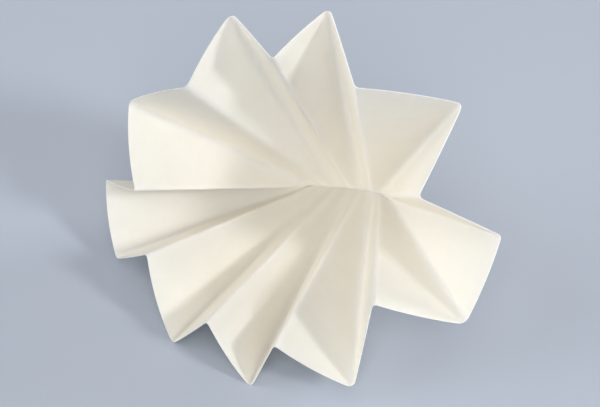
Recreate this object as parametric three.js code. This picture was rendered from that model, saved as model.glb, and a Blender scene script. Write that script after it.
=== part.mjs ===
// A fluted filter paper: one round sheet, folded in half, pleated like a fan through both
// layers and opened again. It lies on its side, as it comes to rest on a table.
// Millimetres, +Z up. The origin is on the table, under the middle of the part.
import * as THREE from 'three';

// The flat sheet
const discDiameter = 150;
const paperThickness = 0.2;

// The fold pattern in the flat sheet. The half fold runs along X. Each pleat angle is one sector
// of the fan, from the left end of the half fold to the right end, and both halves share it,
// because the two layers are pleated together. The creases stop short of the disc's centre:
// their feet stand side by side on the half fold.
const pleatAngles = [17, 19, 20, 17, 17, 15, 18, 20, 19, 18];
const footPitch = 3.6;

// How far the pleats are opened. Each crease has one entry, in order round the mouth: the left
// end of the half fold, the nine creases of the upper half, the right end of the half fold and
// the nine creases of the lower half on the way back. The bearing says where its rim end stands
// round the mouth's axis, and the lean is its angle from that axis, both in degrees.
// The belly is how far the panel after the crease bows out at the rim, in millimetres. The paper
// rests on the rim ends of the two creases that say so.
const creases = [
  { bearing: 177, lean: 49, belly: 0 },
  { bearing: 174, lean: 27.5, belly: 0 },
  { bearing: 150, lean: 43, belly: 0 },
  { bearing: 124, lean: 29, belly: 0 },
  { bearing: 107, lean: 44, belly: 0 },
  { bearing: 86, lean: 31.5, belly: 0 },
  { bearing: 78, lean: 46, belly: 0 },
  { bearing: 56, lean: 34, belly: 0 },
  { bearing: 34, lean: 48, belly: 0 },
  { bearing: 13, lean: 33, belly: 0 },
  { bearing: 2, lean: 49, belly: 0 },
  { bearing: -24, lean: 47.5, belly: 0 },
  { bearing: -27, lean: 27, belly: 0 },
  { bearing: -58, lean: 40, belly: 0 },
  { bearing: -73, lean: 24, belly: 0 },
  { bearing: -94, lean: 37, belly: 0, rests: true },
  { bearing: -109, lean: 21.5, belly: 0 },
  { bearing: -125.5, lean: 38, belly: 0, rests: true },
  { bearing: -158, lean: 26.5, belly: 0 },
  { bearing: -159, lean: 46.5, belly: 0 },
];

// Soft creases: half the width of paper that bends, at the rim and in the worn middle
const creaseHalfWidthAtRim = 1.1;
const creaseHalfWidthInMiddle = 2.2;
const softMiddleRadius = 18;

// How it lies: the half fold runs this many degrees off X, seen from above, and the supports are
// looked for in a few passes
const halfFoldTurn = -20.5;
const supportPasses = 4;

// Folding in small steps: how many, how strongly the list guides the tips at first, and what share
// of a wrong length is put right in one step, along the creases and across the panels
const relaxationRounds = 6000;
const guidedRounds = 4800;
const strongestGuide = 0.1;
const firm = 0.5;
const gentle = 0.2;

// Mesh fineness: rings from the half fold, 0, to the disc's edge, 1, and the largest share of a
// panel's width that one of its two bends takes up
const ringFractions = [0, 0.03, 0.07, 0.12, 0.2, 0.32, 0.5, 0.72, 0.9, 1];
const widestBend = 0.25;

// Softening: the places in the patch that is averaged, by distance from its middle, and the
// weight of each
const patchDirections = 8;
const patchRings = [{ reach: 0.35, weight: 0.9 }, { reach: 0.7, weight: 0.5 }];

// Lengths and shares below this count as nothing
const tiny = 1e-6;

const discRadius = discDiameter / 2;
const pleatCount = pleatAngles.length;
const creaseCount = creases.length;
const footCount = pleatCount - 1;

// The pleat column of a crease: 0 at the left end of the half fold, pleatCount at the right end.
// The lower half counts back.
function columnOf(crease) {
  return crease <= pleatCount ? crease : creaseCount - crease;
}

function footOf(crease) {
  return THREE.MathUtils.clamp(columnOf(crease), 1, footCount);
}

// Flat positions: the feet on the half fold and the tips on the disc's edge
function flatFoot(foot) {
  return new THREE.Vector2((foot - pleatCount / 2) * footPitch, 0);
}

function flatTip(column) {
  const swept = pleatAngles.slice(0, column).reduce((sum, angle) => sum + angle, 0);
  const angle = Math.PI - THREE.MathUtils.degToRad(swept);
  return new THREE.Vector2(discRadius * Math.cos(angle), discRadius * Math.sin(angle));
}

const flatFeet = Array.from({ length: pleatCount + 1 }, (_, column) => flatFoot(footOf(column)));
const flatTips = Array.from({ length: pleatCount + 1 }, (_, column) => flatTip(column));

function flatPoint(node) {
  if (node.foot) return flatFoot(node.foot);
  const tip = flatTips[columnOf(node.tip)].clone();
  if (node.tip > pleatCount) tip.y = -tip.y;
  return tip;
}

// Folding. The tips start where the crease list puts them. Then every length that the paper
// can't stretch, along creases, rim and half fold and across each panel, is pulled back to its
// length in the flat sheet, a little at a time. The list guides the tips while that happens, and
// lets go of them towards the end, so that the net comes to lie as opened paper does.
function foldedNet() {
  const tips = creases.map(({ bearing, lean }) => {
    const round = THREE.MathUtils.degToRad(bearing);
    const out = THREE.MathUtils.degToRad(lean);
    const reach = discRadius * Math.sin(out);
    return new THREE.Vector3(reach * Math.cos(round), reach * Math.sin(round), discRadius * Math.cos(out));
  });
  const feet = [null];
  for (let foot = 1; foot <= footCount; foot += 1) {
    feet.push(new THREE.Vector3(flatFoot(foot).x, 0, 0));
  }
  const at = (node) => (node.foot ? feet[node.foot] : tips[node.tip]);
  const ties = [];
  const tie = (a, b, pull) => {
    ties.push({ a: at(a), b: at(b), length: flatPoint(a).distanceTo(flatPoint(b)), pull });
  };
  for (let crease = 0; crease < creaseCount; crease += 1) {
    const next = (crease + 1) % creaseCount;
    tie({ tip: crease }, { tip: next }, firm);
    tie({ tip: crease }, { foot: footOf(crease) }, firm);
    if (footOf(crease) !== footOf(next)) {
      tie({ tip: crease }, { foot: footOf(next) }, gentle);
      tie({ tip: next }, { foot: footOf(crease) }, gentle);
    }
  }
  for (let foot = 1; foot < footCount; foot += 1) {
    tie({ foot }, { foot: foot + 1 }, firm);
  }
  const middleFoot = feet[Math.round(pleatCount / 2)];
  const listed = tips.map((tip) => tip.clone().normalize());
  const guided = new THREE.Vector3();
  const step = new THREE.Vector3();
  for (let round = 0; round < relaxationRounds; round += 1) {
    const guide = Math.max(0, 1 - round / guidedRounds) * strongestGuide;
    tips.forEach((tip, index) => {
      guided.copy(middleFoot).addScaledVector(listed[index], tip.distanceTo(middleFoot));
      tip.lerp(guided, guide);
    });
    for (const { a, b, length, pull } of ties) {
      step.subVectors(b, a);
      const now = step.length();
      step.multiplyScalar((pull * (now - length)) / now);
      a.add(step);
      b.sub(step);
    }
  }
  return { tips, feet };
}

const net = foldedNet();

function cross2(a, b) {
  return a.x * b.y - a.y * b.x;
}

// The panel of the upper half that holds a flat point: the first one that ends before it
function columnAt(point) {
  for (let column = 0; column < pleatCount - 1; column += 1) {
    const along = flatTips[column + 1].clone().sub(flatFeet[column + 1]);
    if (cross2(along, point.clone().sub(flatFeet[column + 1])) >= 0) return column;
  }
  return pleatCount - 1;
}

// Where a flat point lies in its panel: across, 0 to 1 from crease to crease, and along, 0 at
// the half fold and 1 at the chord between the two tips
function panelPlace(column, point) {
  const start = flatFeet[column];
  const base = flatFeet[column + 1].clone().sub(start);
  const side = flatTips[column].clone().sub(start);
  const spread = flatTips[column + 1].clone().sub(flatTips[column]).sub(base);
  const toPoint = point.clone().sub(start);
  if (toPoint.length() < tiny) return { across: 0, along: 0 };
  const a = -cross2(base, spread);
  const b = cross2(toPoint, spread) - cross2(base, side);
  const c = cross2(toPoint, side);
  const root = Math.sqrt(Math.max(b * b - 4 * a * c, 0));
  const across = Math.abs(a) < tiny ? -c / b : (2 * c) / (-b + root);
  const ruling = side.clone().addScaledVector(spread, across);
  const along = toPoint.clone().addScaledVector(base, -across).dot(ruling) / ruling.lengthSq();
  return { across, along };
}

// The folded place of a flat point, with sharp creases
function sharpFold(point) {
  const upper = point.y >= 0;
  const mirrored = new THREE.Vector2(point.x, Math.abs(point.y));
  const column = columnAt(mirrored);
  const { across, along } = panelPlace(column, mirrored);
  const first = upper ? column : (creaseCount - column) % creaseCount;
  const second = upper ? column + 1 : creaseCount - column - 1;
  const foot = net.feet[footOf(first)].clone().lerp(net.feet[footOf(second)], across);
  const tip = net.tips[first].clone().lerp(net.tips[second], across);
  const place = foot.clone().lerp(tip, along);
  const belly = creases[upper ? first : second].belly;
  if (belly !== 0) {
    const ruling = tip.clone().sub(foot);
    const chord = net.tips[second].clone().sub(net.tips[first]);
    const outward = ruling.cross(chord).normalize().multiplyScalar(upper ? -1 : 1);
    place.addScaledVector(outward, belly * along * 4 * across * (1 - across));
  }
  return place;
}

// The same with soft creases: the mean of the sharp fold over a small round patch
const patch = [{ offset: new THREE.Vector2(0, 0), weight: 1 }];
for (const { reach, weight } of patchRings) {
  for (let turn = 0; turn < patchDirections; turn += 1) {
    const angle = (turn + reach) * ((2 * Math.PI) / patchDirections);
    patch.push({ offset: new THREE.Vector2(reach * Math.cos(angle), reach * Math.sin(angle)), weight });
  }
}
const patchWeight = patch.reduce((sum, { weight }) => sum + weight, 0);

function creaseHalfWidth(point) {
  const middle = Math.exp(-point.lengthSq() / softMiddleRadius ** 2);
  return THREE.MathUtils.lerp(creaseHalfWidthAtRim, creaseHalfWidthInMiddle, middle);
}

function softFold(point) {
  const width = creaseHalfWidth(point);
  const place = new THREE.Vector3();
  for (const { offset, weight } of patch) {
    const sample = point.clone().addScaledVector(offset, width);
    place.addScaledVector(sharpFold(sample), weight / patchWeight);
  }
  return place;
}

// The grid of flat points: columns across each panel, close together at its creases, and rings
// from the half fold to the disc's edge
function acrossAt(column, ring) {
  const near = flatFeet[column].clone().lerp(flatTips[column], ring);
  const far = flatFeet[column + 1].clone().lerp(flatTips[column + 1], ring);
  const middle = near.clone().lerp(far, 0.5);
  const bend = Math.min(creaseHalfWidth(middle) / Math.max(near.distanceTo(far), tiny), widestBend);
  return [0, bend / 2, bend, 0.5, 1 - bend, 1 - bend / 2];
}

function gridPoint(column, across, ring) {
  const foot = flatFeet[column].clone().lerp(flatFeet[column + 1], across);
  const tip = flatTips[column].clone().lerp(flatTips[column + 1], across);
  const ruling = tip.clone().sub(foot).normalize();
  const reach = -foot.dot(ruling) + Math.sqrt(foot.dot(ruling) ** 2 - foot.lengthSq() + discRadius ** 2);
  return foot.addScaledVector(ruling, reach * ring);
}

// Middle surface: one vertex for each different flat point, so the two halves share the half
// fold, and the fans of panels at its ends close on one point
function middleSurface() {
  const vertices = [];
  const known = new Map();
  const vertexAt = (point) => {
    const key = `${point.x.toFixed(4)} ${(point.y + 0).toFixed(4)}`.replace('-0.0000', '0.0000');
    if (!known.has(key)) {
      known.set(key, vertices.length);
      vertices.push(softFold(point));
    }
    return known.get(key);
  };
  const loops = ringFractions.map((ring) => {
    const loop = [];
    for (let crease = 0; crease < creaseCount; crease += 1) {
      const upper = crease < pleatCount;
      const column = upper ? crease : creaseCount - crease - 1;
      const places = acrossAt(column, ring);
      const inOrder = upper ? places : [1, ...places.slice(1).reverse()];
      for (const across of inOrder) {
        const point = gridPoint(column, across, ring);
        if (!upper) point.y = -point.y;
        loop.push(vertexAt(point));
      }
    }
    return loop;
  });
  const faces = [];
  const addFace = (a, b, c) => {
    if (a !== b && b !== c && c !== a) faces.push([a, b, c]);
  };
  for (let ring = 1; ring < loops.length; ring += 1) {
    const inner = loops[ring - 1];
    const outer = loops[ring];
    for (let here = 0; here < outer.length; here += 1) {
      const there = (here + 1) % outer.length;
      addFace(inner[here], inner[there], outer[here]);
      addFace(inner[there], outer[there], outer[here]);
    }
  }
  return { vertices, faces, rim: loops[loops.length - 1] };
}

function surfaceNormals({ vertices, faces }) {
  const geometry = new THREE.BufferGeometry().setFromPoints(vertices);
  geometry.setIndex(faces.flat());
  geometry.computeVertexNormals();
  const normal = geometry.getAttribute('normal');
  return vertices.map((_, index) => new THREE.Vector3().fromBufferAttribute(normal, index));
}

// The sheet as a closed wall: both faces, half the thickness off the middle surface, and the
// cut edge between them
function paperWall() {
  const middle = middleSurface();
  const normals = surfaceNormals(middle);
  const count = middle.vertices.length;
  const half = paperThickness / 2;
  const front = middle.vertices.map((vertex, index) => vertex.clone().addScaledVector(normals[index], half));
  const back = middle.vertices.map((vertex, index) => vertex.clone().addScaledVector(normals[index], -half));
  const faces = [];
  for (const [a, b, c] of middle.faces) {
    faces.push([a, b, c], [a + count, c + count, b + count]);
  }
  middle.rim.forEach((here, index) => {
    const there = middle.rim[(index + 1) % middle.rim.length];
    faces.push([here, there, there + count], [here, there + count, here + count]);
  });
  return { vertices: [...front, ...back], faces };
}

// Laying down: the plane through three supports becomes the table. They are the lowest points
// round the rim ends of the two resting creases and round the foot of the second of them. Then
// the part is turned about the vertical and moved so that the origin is under its middle.
function layingDown(vertices) {
  const resting = creases.map((_, crease) => crease).filter((crease) => creases[crease].rests);
  const ends = [net.feet[footOf(resting[resting.length - 1])], ...resting.map((crease) => net.tips[crease])];
  const nearestEnd = (vertex) => {
    const gaps = ends.map((end) => vertex.distanceTo(end));
    return gaps.indexOf(Math.min(...gaps));
  };
  const groups = ends.map((_, index) => vertices.filter((vertex) => nearestEnd(vertex) === index));
  const middle = new THREE.Box3().setFromPoints(vertices).getCenter(new THREE.Vector3());
  let supports = ends;
  const up = new THREE.Vector3();
  for (let pass = 0; pass < supportPasses; pass += 1) {
    const [foot, first, second] = supports;
    up.crossVectors(first.clone().sub(foot), second.clone().sub(foot)).normalize();
    if (up.dot(middle.clone().sub(foot)) < 0) up.negate();
    const lower = (low, vertex) => (vertex.dot(up) < low.dot(up) ? vertex : low);
    supports = groups.map((group) => group.reduce(lower));
  }
  const vertical = new THREE.Vector3(0, 0, 1);
  const level = new THREE.Quaternion().setFromUnitVectors(up, vertical);
  const halfFold = net.feet[footCount].clone().sub(net.feet[1]).applyQuaternion(level);
  const turn = THREE.MathUtils.degToRad(halfFoldTurn) - Math.atan2(halfFold.y, halfFold.x);
  level.premultiply(new THREE.Quaternion().setFromAxisAngle(vertical, turn));
  const box = new THREE.Box3().setFromPoints(vertices.map((vertex) => vertex.clone().applyQuaternion(level)));
  const centre = box.getCenter(new THREE.Vector3());
  return new THREE.Matrix4().makeRotationFromQuaternion(level).setPosition(-centre.x, -centre.y, -box.min.z);
}

function filterPaper() {
  const { vertices, faces } = paperWall();
  const laid = layingDown(vertices);
  vertices.forEach((vertex) => vertex.applyMatrix4(laid));
  const geometry = new THREE.BufferGeometry().setFromPoints(vertices);
  geometry.setIndex(faces.flat());
  geometry.computeVertexNormals();
  const paper = new THREE.MeshStandardMaterial({ color: 0xe9e3d5, roughness: 0.9, metalness: 0 });
  const sheet = new THREE.Mesh(geometry, paper);
  sheet.name = 'fluted_sheet';
  return sheet;
}

const part = new THREE.Group();
part.add(filterPaper());

export default part;
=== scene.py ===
# %% [markdown]
# This file dresses a fluted filter paper: one round sheet of soft, matt, warm white paper that was folded in
# half, pleated like a fan and opened again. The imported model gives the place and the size. Everything here is
# in metres, with Z up, and the paper lies on the floor at height zero.

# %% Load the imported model
import math

import bpy
import numpy as np
from mathutils import Euler, Matrix, Vector


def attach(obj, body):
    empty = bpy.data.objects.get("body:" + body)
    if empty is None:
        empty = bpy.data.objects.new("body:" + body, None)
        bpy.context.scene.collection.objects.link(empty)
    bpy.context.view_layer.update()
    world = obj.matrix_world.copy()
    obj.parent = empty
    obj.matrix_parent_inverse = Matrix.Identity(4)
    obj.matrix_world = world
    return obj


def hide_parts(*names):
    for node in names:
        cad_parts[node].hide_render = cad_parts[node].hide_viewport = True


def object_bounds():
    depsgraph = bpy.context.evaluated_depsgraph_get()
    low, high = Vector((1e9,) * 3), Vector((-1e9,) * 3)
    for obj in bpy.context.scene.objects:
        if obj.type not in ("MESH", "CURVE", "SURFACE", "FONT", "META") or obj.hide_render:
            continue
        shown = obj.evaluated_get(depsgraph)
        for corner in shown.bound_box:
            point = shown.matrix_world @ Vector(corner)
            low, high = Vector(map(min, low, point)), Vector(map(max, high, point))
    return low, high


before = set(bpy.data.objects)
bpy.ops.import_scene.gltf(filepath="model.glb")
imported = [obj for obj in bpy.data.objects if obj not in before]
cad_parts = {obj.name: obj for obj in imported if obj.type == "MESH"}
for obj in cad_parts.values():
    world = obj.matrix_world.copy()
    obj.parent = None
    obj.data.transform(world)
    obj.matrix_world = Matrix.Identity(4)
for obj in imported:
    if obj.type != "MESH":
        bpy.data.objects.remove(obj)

cad_low, cad_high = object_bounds()
print("packed model, from", tuple(cad_low), "to", tuple(cad_high))

# %% [markdown]
# A paper is fixed by its fold pattern before it is folded. These are the sizes of the flat sheet and of the
# pattern: the angle of each sector of the fan, and how far apart the feet of the creases stand on the half
# fold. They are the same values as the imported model's, so the fine sheet made here lands on the same place.

# %% The flat sheet and its fold pattern
MM = 0.001
DISC_RADIUS = 75 * MM
PAPER_THICKNESS = 0.2 * MM
PLEAT_ANGLES = [17, 19, 20, 17, 17, 15, 18, 20, 19, 18]
FOOT_PITCH = 3.6 * MM
HALF_FOLD_TURN = -20.5

pleat_count = len(PLEAT_ANGLES)
foot_count = pleat_count - 1

# %% [markdown]
# How far each pleat is opened is read off the real paper. Each crease has a bearing round the axis of the
# mouth and a lean away from that axis, in degrees. Its half width, in millimetres, says how much paper bends:
# the folds that point into the mouth were pinched sharp, and the ones that point out were only pressed round.
# The list goes round the mouth from the left end of the half fold.

# %% The opened creases: bearing, lean and half width
CREASES = [
    (177, 49, 0.8), (174, 27.5, 0.5), (150, 43, 1.4), (124, 29, 1.2), (107, 44, 2.6),
    (86, 31.5, 0.4), (78, 46, 2.1), (56, 34, 0.4), (34, 48, 1.3), (13, 33, 0.9),
    (2, 49, 0.8), (-24, 47.5, 1.5), (-27, 27, 0.5), (-58, 40, 2.1), (-73, 24, 0.45),
    (-94, 37, 2.2), (-109, 21.5, 0.7), (-125.5, 38, 2.1), (-158, 26.5, 0.8), (-159, 46.5, 1.2),
]
RESTING_CREASES = [15, 17]

crease_count = len(CREASES)
print("creases:", crease_count, "panels:", crease_count)


# %% Places in the flat sheet
def column_of(crease):
    """The pleat column of a crease, 0 at the left end of the half fold. The lower half counts back."""
    return crease if crease <= pleat_count else crease_count - crease


def foot_of(crease):
    return min(max(column_of(crease), 1), foot_count)


def flat_foot(foot):
    return np.array([(foot - pleat_count / 2) * FOOT_PITCH, 0.0])


def flat_tip(crease):
    swept = math.radians(sum(PLEAT_ANGLES[:column_of(crease)]))
    side = 1 if crease <= pleat_count else -1
    return DISC_RADIUS * np.array([-math.cos(swept), side * math.sin(swept)])


def between(first, second, share):
    return first * (1 - share) + second * share


# %% [markdown]
# Paper bends but can't stretch. The rim ends of the creases start where the list puts them, and every length
# along a crease, the rim and the half fold, and across each panel, is pulled back to its flat length in many
# small steps. The list guides the rim ends at first and then lets go, so the folds settle as paper does.
# A simulation of cloth could do it too, but it would blur the crisp panels that a stiff paper keeps. The
# result is close but not exact: panels between two feet stay a little twisted, up to 0.3 mm short across.

# %% Fold the net of creases
FOLDING_ROUNDS = 6000
GUIDED_ROUNDS = 4800
STRONGEST_GUIDE = 0.1
FIRM, GENTLE = 0.5, 0.2


def net_ties():
    """Pairs of net points that keep their flat distance. Rim ends come first, then feet."""
    def foot_index(foot):
        return crease_count + foot - 1

    def flat_of(index):
        return flat_tip(index) if index < crease_count else flat_foot(index - crease_count + 1)

    pairs = []
    for crease in range(crease_count):
        after = (crease + 1) % crease_count
        here, there = foot_index(foot_of(crease)), foot_index(foot_of(after))
        pairs += [(crease, after, FIRM), (crease, here, FIRM)]
        if here != there:
            pairs += [(crease, there, GENTLE), (after, here, GENTLE)]
    pairs += [(foot_index(foot), foot_index(foot + 1), FIRM) for foot in range(1, foot_count)]
    return [(a, b, float(np.linalg.norm(flat_of(a) - flat_of(b))), pull) for a, b, pull in pairs]


def fold_net():
    """The folded rim ends and feet, pulled from the listed directions back to their flat lengths."""
    points = []
    for bearing, lean, _ in CREASES:
        turn, out = math.radians(bearing), math.radians(lean)
        reach = math.sin(out)
        direction = (reach * math.cos(turn), reach * math.sin(turn), math.cos(out))
        points.append([DISC_RADIUS * v for v in direction])
    listed = [[v / DISC_RADIUS for v in point] for point in points]
    points += [[flat_foot(foot)[0], 0.0, 0.0] for foot in range(1, foot_count + 1)]
    ties = net_ties()
    middle = points[crease_count + round(pleat_count / 2) - 1]
    for turn in range(FOLDING_ROUNDS):
        guide = max(0.0, 1 - turn / GUIDED_ROUNDS) * STRONGEST_GUIDE
        for point, direction in zip(points[:crease_count], listed):
            reach = math.dist(point, middle)
            for axis in range(3):
                point[axis] += guide * (middle[axis] + direction[axis] * reach - point[axis])
        for first, second, length, pull in ties:
            a, b = points[first], points[second]
            x, y, z = b[0] - a[0], b[1] - a[1], b[2] - a[2]
            now = math.sqrt(x * x + y * y + z * z)
            share = pull * (now - length) / now
            a[0] += share * x
            a[1] += share * y
            a[2] += share * z
            b[0] -= share * x
            b[1] -= share * y
            b[2] -= share * z
    return np.array(points[:crease_count]), np.array(points[crease_count:])


net_tips, net_feet = fold_net()
print("half fold, foot to foot, mm:", round(float(np.linalg.norm(net_feet[-1] - net_feet[0])) / MM, 2))


# %% [markdown]
# Between two creases the sheet is one panel, nearly flat. A small patch mesh lies flat in the sheet's plane
# and carries, on each of its points, the place where that point goes when the paper is folded. It reaches a
# little past the rim, so that the softening further down has paper to average there too.

# %% The fold map: a flat mesh that knows its folded place
PATCH_STEPS = 12
PAST_THE_RIM = 1.08


def fold_map():
    """One patch of quads per panel, flat, with the folded place of each point as an attribute."""
    shares = np.linspace(0, 1, PATCH_STEPS + 1)
    flat_points, folded_points, faces = [], [], []
    for crease in range(crease_count):
        after = (crease + 1) % crease_count
        feet = [flat_foot(foot_of(c)) for c in (crease, after)]
        tips = [flat_tip(crease), flat_tip(after)]
        feet_3d = [net_feet[foot_of(c) - 1] for c in (crease, after)]
        tips_3d = [net_tips[crease], net_tips[after]]
        start = len(flat_points)
        for along in shares * PAST_THE_RIM:
            for across in shares:
                flat = between(between(*feet, across), between(*tips, across), along)
                folded = between(between(*feet_3d, across), between(*tips_3d, across), along)
                flat_points.append((*flat, 0.0))
                folded_points.append(folded)
        row = PATCH_STEPS + 1
        for line in range(PATCH_STEPS):
            for step in range(PATCH_STEPS):
                corner = start + line * row + step
                faces.append((corner, corner + 1, corner + row + 1, corner + row))
    mesh = bpy.data.meshes.new("fold map")
    mesh.from_pydata(flat_points, [], faces)
    mesh.attributes.new("folded", "FLOAT_VECTOR", "POINT").data.foreach_set(
        "vector", np.array(folded_points, dtype=np.float32).ravel())
    return bpy.data.objects.new("fold map", mesh)


fold_map_object = fold_map()
bpy.context.scene.collection.objects.link(fold_map_object)
print("fold map points:", len(fold_map_object.data.vertices))

# %% [markdown]
# The sheet itself is cut as a flat disc first. Its grid runs along the creases, with columns close together
# where the paper bends and rings from the half fold out to the cut edge, because a bend needs points on it
# and a flat panel hardly needs any. Each point also keeps how near it lies to a crease, for the finish.
#
# A crease is rounder halfway along, where it was only pressed, and again at the rim, where nothing holds the
# fold together. Along the half fold, where all creases end, the paper is softened over a wider strip.

# %% Cut the flat disc
COLUMNS_AT_CREASE = 6
COLUMNS_IN_PANEL = 12
RINGS = 84
RING_CROWDING = 1.15
BENDING_WIDTH = 1.5
WIDEST_BEND = 0.3
ROUNDER_HALFWAY = 0.7
ROUNDER_AT_RIM = 1.0 * MM
RIM_POWER = 4
HALF_FOLD_HALF_WIDTH = 1.4 * MM
HALF_FOLD_REACH = 3 * MM
SHARP_HALF_WIDTH = 0.5 * MM
NO_WIDTH = 1e-9
GRID_PER_METRE = 1e7


def crease_half_width(crease, ring):
    """Half the width of paper that bends at a crease, at a share of its length."""
    half_width = CREASES[crease][2] * MM * (1 + ROUNDER_HALFWAY * 4 * ring * (1 - ring))
    at_half_fold = column_of(crease) in (0, pleat_count)
    return half_width if at_half_fold else half_width + ROUNDER_AT_RIM * ring ** RIM_POWER


def across_shares(widths, panel_width):
    """Places across a panel, 0 to 1, without the last crease: close together over the bends."""
    span = max(panel_width, NO_WIDTH)
    first, last = (min(BENDING_WIDTH * width / span, WIDEST_BEND) for width in widths)
    steps = np.arange(COLUMNS_AT_CREASE) / COLUMNS_AT_CREASE
    panel = np.linspace(first, 1 - last, COLUMNS_IN_PANEL + 1)
    return np.concatenate([steps * first, panel, 1 - steps[:0:-1] * last])


def ring_point(crease, across, ring):
    """A flat point on the ruling at a share across the panel after a crease, at a share of its length."""
    after = (crease + 1) % crease_count
    foot = between(flat_foot(foot_of(crease)), flat_foot(foot_of(after)), across)
    tip = between(flat_tip(crease), flat_tip(after), across)
    ruling = (tip - foot) / np.linalg.norm(tip - foot)
    inward = float(foot @ ruling)
    reach = -inward + math.sqrt(inward ** 2 - float(foot @ foot) + DISC_RADIUS ** 2)
    return foot + ruling * reach * ring


def bend_at(flat, across, widths, panel_width):
    """The bend's half width at a flat point, and its share of crease fibres and painted highlight, 0 to 1."""
    half_width = between(*widths, across)
    off_half_fold = math.exp(-((flat[1] / HALF_FOLD_REACH) ** 2))
    half_width = max(half_width, HALF_FOLD_HALF_WIDTH * off_half_fold)
    off_crease = min(across, 1 - across) * panel_width
    sharpness = min(SHARP_HALF_WIDTH / half_width, 1)
    return half_width, sharpness * math.exp(-((off_crease / half_width) ** 2))


def disc_rings():
    """The points of the disc with their bends, and for each ring the list of its points in order."""
    points, bends, known, loops = [], [], {}, []
    for ring in (np.arange(RINGS + 1) / RINGS) ** RING_CROWDING:
        loop = []
        for crease in range(crease_count):
            ends = ring_point(crease, 0.0, ring), ring_point(crease, 1.0, ring)
            panel_width = float(np.linalg.norm(ends[1] - ends[0]))
            widths = [crease_half_width(c, ring) for c in (crease, (crease + 1) % crease_count)]
            for across in across_shares(widths, panel_width):
                flat = ring_point(crease, across, ring)
                key = (round(flat[0] * GRID_PER_METRE), round(flat[1] * GRID_PER_METRE))
                if key not in known:
                    known[key] = len(points)
                    points.append((*flat, 0.0))
                    bends.append(bend_at(flat, across, widths, panel_width))
                loop.append(known[key])
        loops.append(loop)
    return points, bends, loops


def disc_faces(loops):
    """Quads between neighbouring rings, or triangles where points of the inner ring fall together."""
    faces = []
    for inner, outer in zip(loops, loops[1:]):
        for here in range(len(outer)):
            there = (here + 1) % len(outer)
            face = list(dict.fromkeys((inner[here], inner[there], outer[there], outer[here])))
            if len(face) > 2:
                faces.append(face)
    return faces


def flat_disc():
    points, bends, loops = disc_rings()
    mesh = bpy.data.meshes.new("filter paper")
    mesh.from_pydata(points, [], disc_faces(loops))
    half_widths, closeness = zip(*bends)
    mesh.attributes.new("crease", "FLOAT", "POINT").data.foreach_set("value", closeness)
    mesh.attributes.new("half width", "FLOAT", "POINT").data.foreach_set("value", half_widths)
    layer = mesh.uv_layers.new(name="UVMap")
    corners = np.empty(len(mesh.loops), dtype=np.int32)
    mesh.loops.foreach_get("vertex_index", corners)
    uv = np.array(points)[corners, :2] / (2 * DISC_RADIUS) + 0.5
    layer.data.foreach_set("uv", uv.astype(np.float32).ravel())
    return bpy.data.objects.new("filter_paper", mesh)


paper = flat_disc()
bpy.context.scene.collection.objects.link(paper)
print("flat disc:", len(paper.data.vertices), "points,", len(paper.data.polygons), "faces")

# %% [markdown]
# The finish. Filter paper is soft, unsized and matt: cotton fibres lie in it like felt, so close up it is
# faintly cloudy and slightly rough, and a crease is a line of raised, loosened fibres. One node group makes
# that for both the faces and the cut edge. It also paints the creases paler: mostly a painted highlight for
# the bright line that light draws along a sharp fold, partly the whiter look of loosened fibres. It reads
# the sheet's own UV map, because the fibres were laid down while the sheet was flat. It gives out a colour
# and a height that vary, and all that is constant stays on the shader.


# %% Helpers for node trees
def add(tree, kind, values=None, **settings):
    """A new node of a kind, with its settings and the values of its unlinked inputs."""
    node = tree.nodes.new(kind)
    for key, value in settings.items():
        setattr(node, key, value)
    for key, value in (values or {}).items():
        node.inputs[key].default_value = value
    return node


def sockets(tree, inputs, outputs):
    """Named inputs, as (name, kind, default), and outputs, as (name, kind), for a node group."""
    for name, kind, default in inputs:
        socket = tree.interface.new_socket(name, in_out="INPUT", socket_type=kind)
        if default is not None:
            socket.default_value = default
    for name, kind in outputs:
        tree.interface.new_socket(name, in_out="OUTPUT", socket_type=kind)


# %% The fibrous paper group
SHEET_WIDTH_MM = 2 * DISC_RADIUS / MM
CLOUDS = (3.0, 1.0, 0.0)  # detail, stretch, turn
FIBRES = (2.0, 0.35, 0.6)
CROSSING_FIBRES = (2.0, 0.35, -0.8)
CREASE_HIGHLIGHT_SHARE = 0.9
LOOSENED = 0.8


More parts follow.
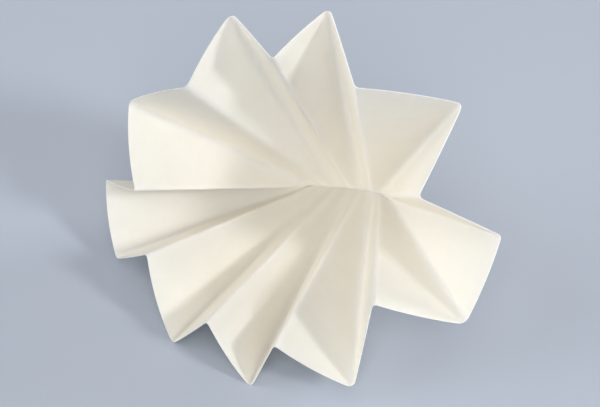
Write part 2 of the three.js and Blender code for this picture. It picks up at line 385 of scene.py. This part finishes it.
def fibrous_paper_group():
    """Clouds and crossing fibres in the paper, rougher along the creases, with a painted highlight there."""
    group = bpy.data.node_groups.new("fibrous paper", "ShaderNodeTree")
    sockets(group, [("Paper", "NodeSocketColor", (0.8, 0.76, 0.68, 1)),
                    ("Thin Spot", "NodeSocketColor", (0.7, 0.68, 0.62, 1)),
                    ("Crease", "NodeSocketColor", (0.85, 0.82, 0.75, 1)),
                    ("Cloud Size mm", "NodeSocketFloat", 7.0),
                    ("Fibre Size mm", "NodeSocketFloat", 0.5)],
            [("Color", "NodeSocketColor"), ("Height", "NodeSocketFloat")])
    link = group.links.new
    given, out = add(group, "NodeGroupInput"), add(group, "NodeGroupOutput")
    flat = add(group, "ShaderNodeUVMap", uv_map="UVMap")

    def noise(size_output, detail, stretch, turn):
        scale = add(group, "ShaderNodeMath", {0: SHEET_WIDTH_MM}, operation="DIVIDE")
        link(size_output, scale.inputs[1])
        turned = add(group, "ShaderNodeMapping", {"Rotation": (0, 0, turn), "Scale": (stretch, 1, 1)})
        link(flat.outputs["UV"], turned.inputs["Vector"])
        texture = add(group, "ShaderNodeTexNoise", {"Detail": detail, "Roughness": 0.6})
        link(turned.outputs[0], texture.inputs["Vector"])
        link(scale.outputs[0], texture.inputs["Scale"])
        return texture.outputs["Fac"]

    clouds = noise(given.outputs["Cloud Size mm"], *CLOUDS)
    fibres = noise(given.outputs["Fibre Size mm"], *FIBRES)
    crossing = noise(given.outputs["Fibre Size mm"], *CROSSING_FIBRES)
    felt = add(group, "ShaderNodeMath", operation="MAXIMUM")
    link(fibres, felt.inputs[0])
    link(crossing, felt.inputs[1])

    cloudiness = add(group, "ShaderNodeMapRange", {"From Min": 0.35, "From Max": 0.7, "To Max": 0.45})
    link(clouds, cloudiness.inputs["Value"])
    tinted = add(group, "ShaderNodeMix", data_type="RGBA")
    link(cloudiness.outputs[0], tinted.inputs["Factor"])
    link(given.outputs["Paper"], tinted.inputs[6])
    link(given.outputs["Thin Spot"], tinted.inputs[7])
    # Paler along the creases: a painted highlight, strongest on the sharp folds.
    near = add(group, "ShaderNodeAttribute", attribute_name="crease")
    highlight_amount = add(group, "ShaderNodeMath", {1: CREASE_HIGHLIGHT_SHARE}, operation="MULTIPLY")
    link(near.outputs["Fac"], highlight_amount.inputs[0])
    highlighted = add(group, "ShaderNodeMix", data_type="RGBA")
    link(highlight_amount.outputs[0], highlighted.inputs["Factor"])
    link(tinted.outputs[2], highlighted.inputs[6])
    link(given.outputs["Crease"], highlighted.inputs[7])
    link(highlighted.outputs[2], out.inputs["Color"])

    loose = add(group, "ShaderNodeMath", {1: LOOSENED, 2: 1.0}, operation="MULTIPLY_ADD")
    link(near.outputs["Fac"], loose.inputs[0])
    raised = add(group, "ShaderNodeMath", operation="MULTIPLY")
    link(felt.outputs[0], raised.inputs[0])
    link(loose.outputs[0], raised.inputs[1])
    link(raised.outputs[0], out.inputs["Height"])
    return group


fibrous_paper = fibrous_paper_group()
print("fibrous paper group:", len(fibrous_paper.nodes), "nodes")


# %% Paper face and cut edge
PAPER_COLOR = (0.89, 0.828, 0.7)
# The cut edge is painted paler than the faces: a painted highlight for the bright rim light draws along it.
EDGE_HIGHLIGHT_COLOR = (0.96, 0.94, 0.88)
# Creases are painted paler: mostly a painted highlight for the bright line along a sharp fold, partly loosened
# fibres.
CREASE_HIGHLIGHT_COLOR = (1.0, 0.96, 0.88)
THIN_SPOT_SHADE = 0.95
MATT = {"Roughness": 0.92, "Specular IOR Level": 0.25}
TRANSLUCENT = {"Subsurface Weight": 1.0, "Subsurface Radius": (1.0, 1.0, 1.0), "Subsurface Scale": 1.0 * MM}
BUMP_STRENGTH = 0.35
FACE_BUMP, EDGE_BUMP = 0.12, 0.2  # mm


def paper_material(name, paper_color, bump_mm, **shader_values):
    material = bpy.data.materials.new(name)
    material.use_nodes = True
    tree = material.node_tree
    shader = tree.nodes["Principled BSDF"]
    for key, value in {**MATT, **TRANSLUCENT, **shader_values}.items():
        shader.inputs[key].default_value = value
    fibres = add(tree, "ShaderNodeGroup", node_tree=fibrous_paper)
    fibres.inputs["Paper"].default_value = (*paper_color, 1)
    fibres.inputs["Thin Spot"].default_value = (*(v * THIN_SPOT_SHADE for v in paper_color), 1)
    fibres.inputs["Crease"].default_value = (*CREASE_HIGHLIGHT_COLOR, 1)
    bump = add(tree, "ShaderNodeBump", {"Strength": BUMP_STRENGTH, "Distance": bump_mm * MM})
    tree.links.new(fibres.outputs["Color"], shader.inputs["Base Color"])
    tree.links.new(fibres.outputs["Height"], bump.inputs["Height"])
    tree.links.new(bump.outputs["Normal"], shader.inputs["Normal"])
    return material


face_material = paper_material("paper face", PAPER_COLOR, FACE_BUMP)
edge_material = paper_material("cut edge", EDGE_HIGHLIGHT_COLOR, EDGE_BUMP, Roughness=0.97)
print("materials:", face_material.name, "and", edge_material.name)

# %% [markdown]
# One Geometry Nodes tree folds the disc, in four steps, each of which is a function here. The first looks up
# the folded place in the fold map, at a number of spots inside a small round patch about each flat point,
# and takes their mean: that turns a knife edge into a soft crease. The second adds the faint waviness of
# paper. The third gives the sheet its thickness: a shell is extruded from it, joined with the turned-round
# original and welded. The last shades it and sets the materials. A bevel can't round the creases, because
# they run together in the middle.


# %% Helpers for the folding tree
def math_node(tree, operation, *terms, vector=False):
    """A math node whose inputs are numbers or other nodes' outputs. Returns its own output."""
    node = add(tree, "ShaderNodeVectorMath" if vector else "ShaderNodeMath", operation=operation)
    for index, term in enumerate(terms):
        socket = node.inputs["Scale"] if operation == "SCALE" and index == 1 else node.inputs[index]
        if isinstance(term, (int, float, tuple)):
            socket.default_value = term
        else:
            tree.links.new(term, socket)
    return node.outputs[0]


def named(tree, name, kind):
    node = add(tree, "GeometryNodeInputNamedAttribute", {"Name": name}, data_type=kind)
    return node.outputs["Attribute"]


def store(tree, geometry, name, kind, value, domain="POINT"):
    node = add(tree, "GeometryNodeStoreNamedAttribute", {"Name": name}, data_type=kind, domain=domain)
    tree.links.new(geometry, node.inputs["Geometry"])
    if isinstance(value, tuple):
        node.inputs["Value"].default_value = value
    else:
        tree.links.new(value, node.inputs["Value"])
    return node.outputs["Geometry"]


# %% Fold and soften
GOLDEN_ANGLE = 2.39996


def patch_spot(tree, given, turn_count):
    """The flat place of one spot of the patch. The spots lie on a spiral that fills the patch evenly."""
    here = add(tree, "GeometryNodeInputPosition").outputs[0]
    half_width = math_node(tree, "MULTIPLY", named(tree, "half width", "FLOAT"), given.outputs["Softness"])
    order = math_node(tree, "ADD", turn_count, 0.5)
    out = math_node(tree, "SQRT", math_node(tree, "DIVIDE", order, given.outputs["Samples"]))
    reach = math_node(tree, "MULTIPLY", out, half_width)
    angle = math_node(tree, "MULTIPLY", order, GOLDEN_ANGLE)
    spot = add(tree, "ShaderNodeCombineXYZ")
    for index, wave in enumerate(("COSINE", "SINE")):
        part = math_node(tree, "MULTIPLY", math_node(tree, wave, angle), reach)
        tree.links.new(part, spot.inputs[index])
    return math_node(tree, "ADD", here, spot.outputs[0], vector=True)


def fold(tree, given):
    """The folded sheet: each point goes to the mean of the folded places of its spots."""
    link = tree.links.new
    mapped = add(tree, "GeometryNodeObjectInfo", transform_space="ORIGINAL")
    link(given.outputs["Fold Map"], mapped.inputs["Object"])
    empty_sum = store(tree, given.outputs["Geometry"], "total", "FLOAT_VECTOR", (0.0, 0.0, 0.0))
    begin, end = add(tree, "GeometryNodeRepeatInput"), add(tree, "GeometryNodeRepeatOutput")
    begin.pair_with_output(end)
    link(given.outputs["Samples"], begin.inputs["Iterations"])
    link(empty_sum, begin.inputs["Geometry"])
    look_up = add(tree, "GeometryNodeSampleNearestSurface", data_type="FLOAT_VECTOR")
    link(mapped.outputs["Geometry"], look_up.inputs["Mesh"])
    link(named(tree, "folded", "FLOAT_VECTOR"), look_up.inputs["Value"])
    link(patch_spot(tree, given, begin.outputs["Iteration"]), look_up.inputs["Sample Position"])
    so_far = named(tree, "total", "FLOAT_VECTOR")
    total = math_node(tree, "ADD", so_far, look_up.outputs["Value"], vector=True)
    link(store(tree, begin.outputs["Geometry"], "total", "FLOAT_VECTOR", total), end.inputs["Geometry"])
    share = math_node(tree, "DIVIDE", 1.0, given.outputs["Samples"])
    folded = add(tree, "GeometryNodeSetPosition")
    link(end.outputs["Geometry"], folded.inputs["Geometry"])
    mean = math_node(tree, "SCALE", named(tree, "total", "FLOAT_VECTOR"), share, vector=True)
    link(mean, folded.inputs["Position"])
    return folded.outputs["Geometry"]


# %% Cockle
def cockle(tree, given, sheet):
    """The faint waviness that damp air leaves in paper. The sheet also moves back by half its thickness."""
    normal = add(tree, "GeometryNodeInputNormal").outputs[0]
    waves = add(tree, "ShaderNodeTexNoise", {"Detail": 1.0}, noise_dimensions="4D")
    tree.links.new(given.outputs["Seed"], waves.inputs["W"])
    tree.links.new(math_node(tree, "DIVIDE", 1.0, given.outputs["Cockle Size"]), waves.inputs["Scale"])
    centred = math_node(tree, "SUBTRACT", waves.outputs["Fac"], 0.5)
    lift = math_node(tree, "MULTIPLY", centred, given.outputs["Cockle Height"])
    offset = math_node(tree, "MULTIPLY_ADD", given.outputs["Thickness"], -0.5, lift)
    cockled = add(tree, "GeometryNodeSetPosition")
    tree.links.new(sheet, cockled.inputs["Geometry"])
    tree.links.new(math_node(tree, "SCALE", normal, offset, vector=True), cockled.inputs["Offset"])
    return cockled.outputs["Geometry"]


# %% Give the sheet its thickness
WELD_DISTANCE = 0.002 * MM


def thicken(tree, given, sheet):
    """A wall: the extruded sheet, whose sides are the cut edge, welded to the turned-round original."""
    link = tree.links.new
    shell = add(tree, "GeometryNodeExtrudeMesh", {"Individual": False}, mode="FACES")
    link(sheet, shell.inputs["Mesh"])
    link(given.outputs["Thickness"], shell.inputs["Offset Scale"])
    marked = store(tree, shell.outputs["Mesh"], "cut", "BOOLEAN", shell.outputs["Side"], "FACE")
    turned = add(tree, "GeometryNodeFlipFaces")
    link(sheet, turned.inputs["Mesh"])
    both = add(tree, "GeometryNodeJoinGeometry")
    link(turned.outputs[0], both.inputs[0])
    link(marked, both.inputs[0])
    welded = add(tree, "GeometryNodeMergeByDistance", {"Distance": WELD_DISTANCE})
    link(both.outputs[0], welded.inputs["Geometry"])
    return welded.outputs[0]


# %% Shade the wall and set its materials
CRISP_ANGLE = 50


def dress(tree, given, wall):
    """Smooth shading but for the two lines where the faces meet the cut edge, and a material for each."""
    link = tree.links.new
    smooth = add(tree, "GeometryNodeSetShadeSmooth", {"Shade Smooth": True}, domain="FACE")
    link(wall, smooth.inputs["Geometry"])
    edge_angle = add(tree, "GeometryNodeInputMeshEdgeAngle").outputs[0]
    steep = math_node(tree, "GREATER_THAN", edge_angle, math.radians(CRISP_ANGLE))
    crisp = add(tree, "GeometryNodeSetShadeSmooth", {"Shade Smooth": False}, domain="EDGE")
    link(smooth.outputs[0], crisp.inputs["Geometry"])
    link(steep, crisp.inputs["Selection"])
    faces = add(tree, "GeometryNodeSetMaterial")
    link(crisp.outputs[0], faces.inputs["Geometry"])
    link(given.outputs["Face Material"], faces.inputs["Material"])
    edges = add(tree, "GeometryNodeSetMaterial")
    link(faces.outputs[0], edges.inputs["Geometry"])
    link(named(tree, "cut", "BOOLEAN"), edges.inputs["Selection"])
    link(given.outputs["Edge Material"], edges.inputs["Material"])
    return edges.outputs[0]


# %% The folding tree
SOFTENING_SAMPLES = 36
COCKLE_HEIGHT = 0.1 * MM
COCKLE_SIZE = 22 * MM
COCKLE_SEED = 4.0


def folding_tree():
    tree = bpy.data.node_groups.new("fold the sheet", "GeometryNodeTree")
    sockets(tree, [("Geometry", "NodeSocketGeometry", None), ("Fold Map", "NodeSocketObject", None),
                   ("Softness", "NodeSocketFloat", 1.0), ("Samples", "NodeSocketInt", SOFTENING_SAMPLES),
                   ("Thickness", "NodeSocketFloat", PAPER_THICKNESS),
                   ("Cockle Height", "NodeSocketFloat", COCKLE_HEIGHT),
                   ("Cockle Size", "NodeSocketFloat", COCKLE_SIZE),
                   ("Seed", "NodeSocketFloat", COCKLE_SEED),
                   ("Face Material", "NodeSocketMaterial", None),
                   ("Edge Material", "NodeSocketMaterial", None)],
            [("Geometry", "NodeSocketGeometry")])
    given, out = add(tree, "NodeGroupInput"), add(tree, "NodeGroupOutput")
    wall = thicken(tree, given, cockle(tree, given, fold(tree, given)))
    real = add(tree, "GeometryNodeRealizeInstances")
    tree.links.new(dress(tree, given, wall), real.inputs[0])
    tree.links.new(real.outputs[0], out.inputs[0])
    return tree


folding = folding_tree()
print("folding tree:", len(folding.nodes), "nodes")


# %% Fold the disc and make it a plain mesh
def apply_tree(piece, tree, values):
    """Runs a tree on a piece, with inputs by name, and swaps the piece's mesh for the result.

    The flat disc had no material, which leaves an empty slot in the result. Empty slots are taken out."""
    modifier = piece.modifiers.new(tree.name, "NODES")
    modifier.node_group = tree
    for item in tree.interface.items_tree:
        if item.in_out == "INPUT" and item.name in values:
            modifier[item.identifier] = values[item.name]
    bpy.context.view_layer.update()
    evaluated = piece.evaluated_get(bpy.context.evaluated_depsgraph_get())
    result = bpy.data.meshes.new_from_object(evaluated)
    for slot in reversed(range(len(result.materials))):
        if result.materials[slot] is None:
            result.materials.pop(index=slot)
    piece.modifiers.remove(modifier)
    piece.data = result
    result.name = piece.name


apply_tree(paper, folding, {"Fold Map": fold_map_object, "Face Material": face_material,
                            "Edge Material": edge_material})
bpy.data.objects.remove(fold_map_object)
for spare in ("total", "half width"):
    paper.data.attributes.remove(paper.data.attributes[spare])
print("folded sheet:", len(paper.data.vertices), "points,", len(paper.data.polygons), "faces,",
      [material.name for material in paper.data.materials])

# %% [markdown]
# The paper lies on its side, on the rim ends of two creases and on the foot of one. The plane through the
# three lowest points there becomes the floor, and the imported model's box says where its middle is.

# %% Lay the paper on the floor
SUPPORT_SEARCH = 8 * MM
SUPPORT_PASSES = 4


def mesh_points(mesh):
    points = np.empty(len(mesh.vertices) * 3, dtype=np.float32)
    mesh.vertices.foreach_get("co", points)
    return points.reshape(-1, 3).astype(float)


def laying_down(points):
    """The move that puts the folded sheet on the floor, on its three supports."""
    ends = [net_feet[foot_of(RESTING_CREASES[-1]) - 1]] + [net_tips[crease] for crease in RESTING_CREASES]
    groups = [points[np.linalg.norm(points - end, axis=1) < SUPPORT_SEARCH] for end in ends]
    supports = ends
    for _ in range(SUPPORT_PASSES):
        up = np.cross(supports[1] - supports[0], supports[2] - supports[0])
        up /= np.linalg.norm(up)
        if up @ (points.mean(axis=0) - supports[0]) < 0:
            up = -up
        supports = [group[(group @ up).argmin()] for group in groups]
    level = Vector(up).rotation_difference(Vector((0, 0, 1))).to_matrix()
    half_fold = level @ Vector(net_feet[-1] - net_feet[0])
    turn = math.radians(HALF_FOLD_TURN) - math.atan2(half_fold.y, half_fold.x)
    level = Matrix.Rotation(turn, 3, "Z") @ level
    laid = points @ np.array(level).T
    low, high = laid.min(axis=0), laid.max(axis=0)
    middle = (cad_low + cad_high) / 2
    across, deep = (low[:2] + high[:2]) / 2
    shift = Vector((middle.x - across, middle.y - deep, cad_low.z - low[2]))
    return Matrix.Translation(shift) @ level.to_4x4()


paper.data.transform(laying_down(mesh_points(paper.data)))
paper.data.update()
laid_points = mesh_points(paper.data)
print("laid sheet, from", laid_points.min(axis=0).round(5), "to", laid_points.max(axis=0).round(5))

# %% [markdown]
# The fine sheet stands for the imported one. It is one sheet, cut as a 150 mm disc. A real one would keep its
# area however it is folded. This one loses a few percent, partly because its panels twist a little, and
# mostly because the averaging cuts the corners of its creases.

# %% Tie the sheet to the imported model
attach(paper, "root")
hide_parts("fluted_sheet")

# %% [markdown]
# The stage is a plain pale floor that curves up into a wall on all sides, so no picture has a horizon. It is
# a cool grey, a little darker than the paper, so that the warm white pleats stand out on it. Far from the
# paper the lamps light it unevenly, so it is shown there at one even colour. Only what is seen changes by
# that, directly or through a mirror or glass: it sends no more light to the paper.

# %% Floor and backdrop
FLOOR_COLOR = (0.4, 0.44, 0.51)
FAR_FLOOR_COLOR = (0.45, 0.49, 0.57)
FAR_FROM, FAR_TO = 0.8, 2.6
FLOOR_ROUGHNESS = 0.95
FLOOR_SHEEN = 0.1
FLOOR_RADIUS = 4.0
WALL_CURVE = 0.8
WALL_HEIGHT = 3.0
ROUND_STEPS = 64
CURVE_STEPS = 16


def backdrop():
    """A flat round floor that turns up into a wall on all sides."""
    curve = [(FLOOR_RADIUS + WALL_CURVE * math.sin(t), WALL_CURVE * (1 - math.cos(t)))
             for t in np.linspace(0, math.pi / 2, CURVE_STEPS)]
    profile = [*curve, (FLOOR_RADIUS + WALL_CURVE, WALL_HEIGHT)]
    turns = [2 * math.pi * step / ROUND_STEPS for step in range(ROUND_STEPS)]
    points = [(out * math.cos(t), out * math.sin(t), z) for out, z in profile for t in turns]
    faces = [tuple(range(ROUND_STEPS))]
    for ring in range(len(profile) - 1):
        for step in range(ROUND_STEPS):
            here, there = ring * ROUND_STEPS + step, ring * ROUND_STEPS + (step + 1) % ROUND_STEPS
            faces.append((here, here + ROUND_STEPS, there + ROUND_STEPS, there))
    mesh = bpy.data.meshes.new("backdrop")
    mesh.from_pydata(points, [], faces)
    mesh.shade_smooth()
    return bpy.data.objects.new("backdrop", mesh)


floor = backdrop()
bpy.context.scene.collection.objects.link(floor)
print("backdrop:", len(floor.data.polygons), "faces")


# %% Floor material
def floor_finish():
    material = bpy.data.materials.new("floor")
    material.use_nodes = True
    tree = material.node_tree
    shader = tree.nodes["Principled BSDF"]
    shader.inputs["Base Color"].default_value = (*FLOOR_COLOR, 1)
    shader.inputs["Roughness"].default_value = FLOOR_ROUGHNESS
    shader.inputs["Specular IOR Level"].default_value = FLOOR_SHEEN
    place = add(tree, "ShaderNodeNewGeometry")
    distance = add(tree, "ShaderNodeVectorMath", operation="LENGTH")
    far_off = add(tree, "ShaderNodeMapRange", {"From Min": FAR_FROM, "From Max": FAR_TO},
                  interpolation_type="SMOOTHSTEP")
    ray = add(tree, "ShaderNodeLightPath")
    camera_or_mirror = add(tree, "ShaderNodeMath", operation="MAXIMUM")
    seen = add(tree, "ShaderNodeMath", operation="MAXIMUM")
    far_and_seen = add(tree, "ShaderNodeMath", operation="MULTIPLY")
    glow = add(tree, "ShaderNodeEmission", {"Color": (*FAR_FLOOR_COLOR, 1)})
    shown = add(tree, "ShaderNodeMixShader")
    for start, end in (
        (place.outputs["Position"], distance.inputs[0]),
        (distance.outputs["Value"], far_off.inputs["Value"]),
        (far_off.outputs[0], far_and_seen.inputs[0]),
        (ray.outputs["Is Camera Ray"], camera_or_mirror.inputs[0]),
        (ray.outputs["Is Glossy Ray"], camera_or_mirror.inputs[1]),
        (camera_or_mirror.outputs[0], seen.inputs[0]),
        (ray.outputs["Is Transmission Ray"], seen.inputs[1]),
        (seen.outputs[0], far_and_seen.inputs[1]),
        (far_and_seen.outputs[0], shown.inputs[0]),
        (shader.outputs[0], shown.inputs[1]),
        (glow.outputs[0], shown.inputs[2]),
        (shown.outputs[0], tree.nodes["Material Output"].inputs["Surface"]),
    ):
        tree.links.new(start, end)
    return material


floor_material = floor_finish()
floor.data.materials.append(floor_material)
print("floor material:", len(floor_material.node_tree.nodes), "nodes")

# %% [markdown]
# Paper shows its folds by small differences of light. A small lamp low to the right and in front casts the
# soft-edged shadows of the pleats on each other. A second one, further round to the right, shines through the
# panels on that side, which glow because the paper is thin. Big soft lamps from the front, the left and above
# fill the shade, and the world adds a little from everywhere.


# %% Lights
PAPER_MIDDLE = Vector((0, 0, 0.03))
LAMP_DISTANCE = 2.5
LAMPS = [  # name, bearing and height angle in degrees, size in metres, power in watts
    ("key", -30, 32, 0.45, 25.4),
    ("light through the right side", 17, 17, 0.91, 29.5),
    ("front fill", -90, 45, 2.05, 40.0),
    ("left fill", 180, 35, 2.05, 24.5),
    ("top fill", -90, 88, 2.05, 9.3),
]
WORLD_COLOR = (1.0, 0.98, 0.94)
WORLD_STRENGTH = 0.15


def soft_lamp(name, bearing, height, size, power):
    """A round area lamp at a bearing and a height angle, in degrees, aimed at the paper's middle."""
    turn, up = math.radians(bearing), math.radians(height)
    toward = Vector((math.cos(up) * math.cos(turn), math.cos(up) * math.sin(turn), math.sin(up)))
    data = bpy.data.lights.new(name, "AREA")
    data.shape = "DISK"
    data.size = size
    data.energy = power
    lamp = bpy.data.objects.new(name, data)
    lamp.location = PAPER_MIDDLE + toward * LAMP_DISTANCE
    lamp.rotation_euler = toward.to_track_quat("Z", "Y").to_euler()
    bpy.context.scene.collection.objects.link(lamp)


for lamp_name, bearing, height, size, power in LAMPS:
    soft_lamp(lamp_name, bearing, height, size, power)
world = bpy.data.worlds.new("studio")
world.use_nodes = True
bpy.context.scene.world = world
background = world.node_tree.nodes["Background"]
background.inputs["Color"].default_value = (*WORLD_COLOR, 1)
background.inputs["Strength"].default_value = WORLD_STRENGTH
print("lamps:", [lamp[0] for lamp in LAMPS])

# %% [markdown]
# The camera looks down into the mouth of the paper, from a little over a quarter of a metre away.

# %% Camera
PICTURE_WIDTH = 600
FOCAL_PIXELS = 1002
SENSOR_WIDTH = 36.0
CAMERA_PLACE = (7.1 * MM, -176.8 * MM, 217.6 * MM)
LOOK_DOWN = 46.36
LOOK_TURN = 1.22
ROLL = -1.4
NEAREST_SEEN = 0.01

camera_data = bpy.data.cameras.new("camera")
camera_data.sensor_width = SENSOR_WIDTH
camera_data.lens = FOCAL_PIXELS * SENSOR_WIDTH / PICTURE_WIDTH
camera_data.clip_start = NEAREST_SEEN
camera = bpy.data.objects.new("camera", camera_data)
camera.matrix_world = (
    Matrix.Translation(CAMERA_PLACE)
    @ Euler((math.radians(90 - LOOK_DOWN), 0, math.radians(LOOK_TURN))).to_matrix().to_4x4()
    @ Matrix.Rotation(math.radians(ROLL), 4, "Z")
)
bpy.context.scene.collection.objects.link(camera)
bpy.context.scene.camera = camera
bpy.context.scene.view_settings.view_transform = "Standard"
print("camera:", round(camera_data.lens, 2), "mm lens, at", CAMERA_PLACE)
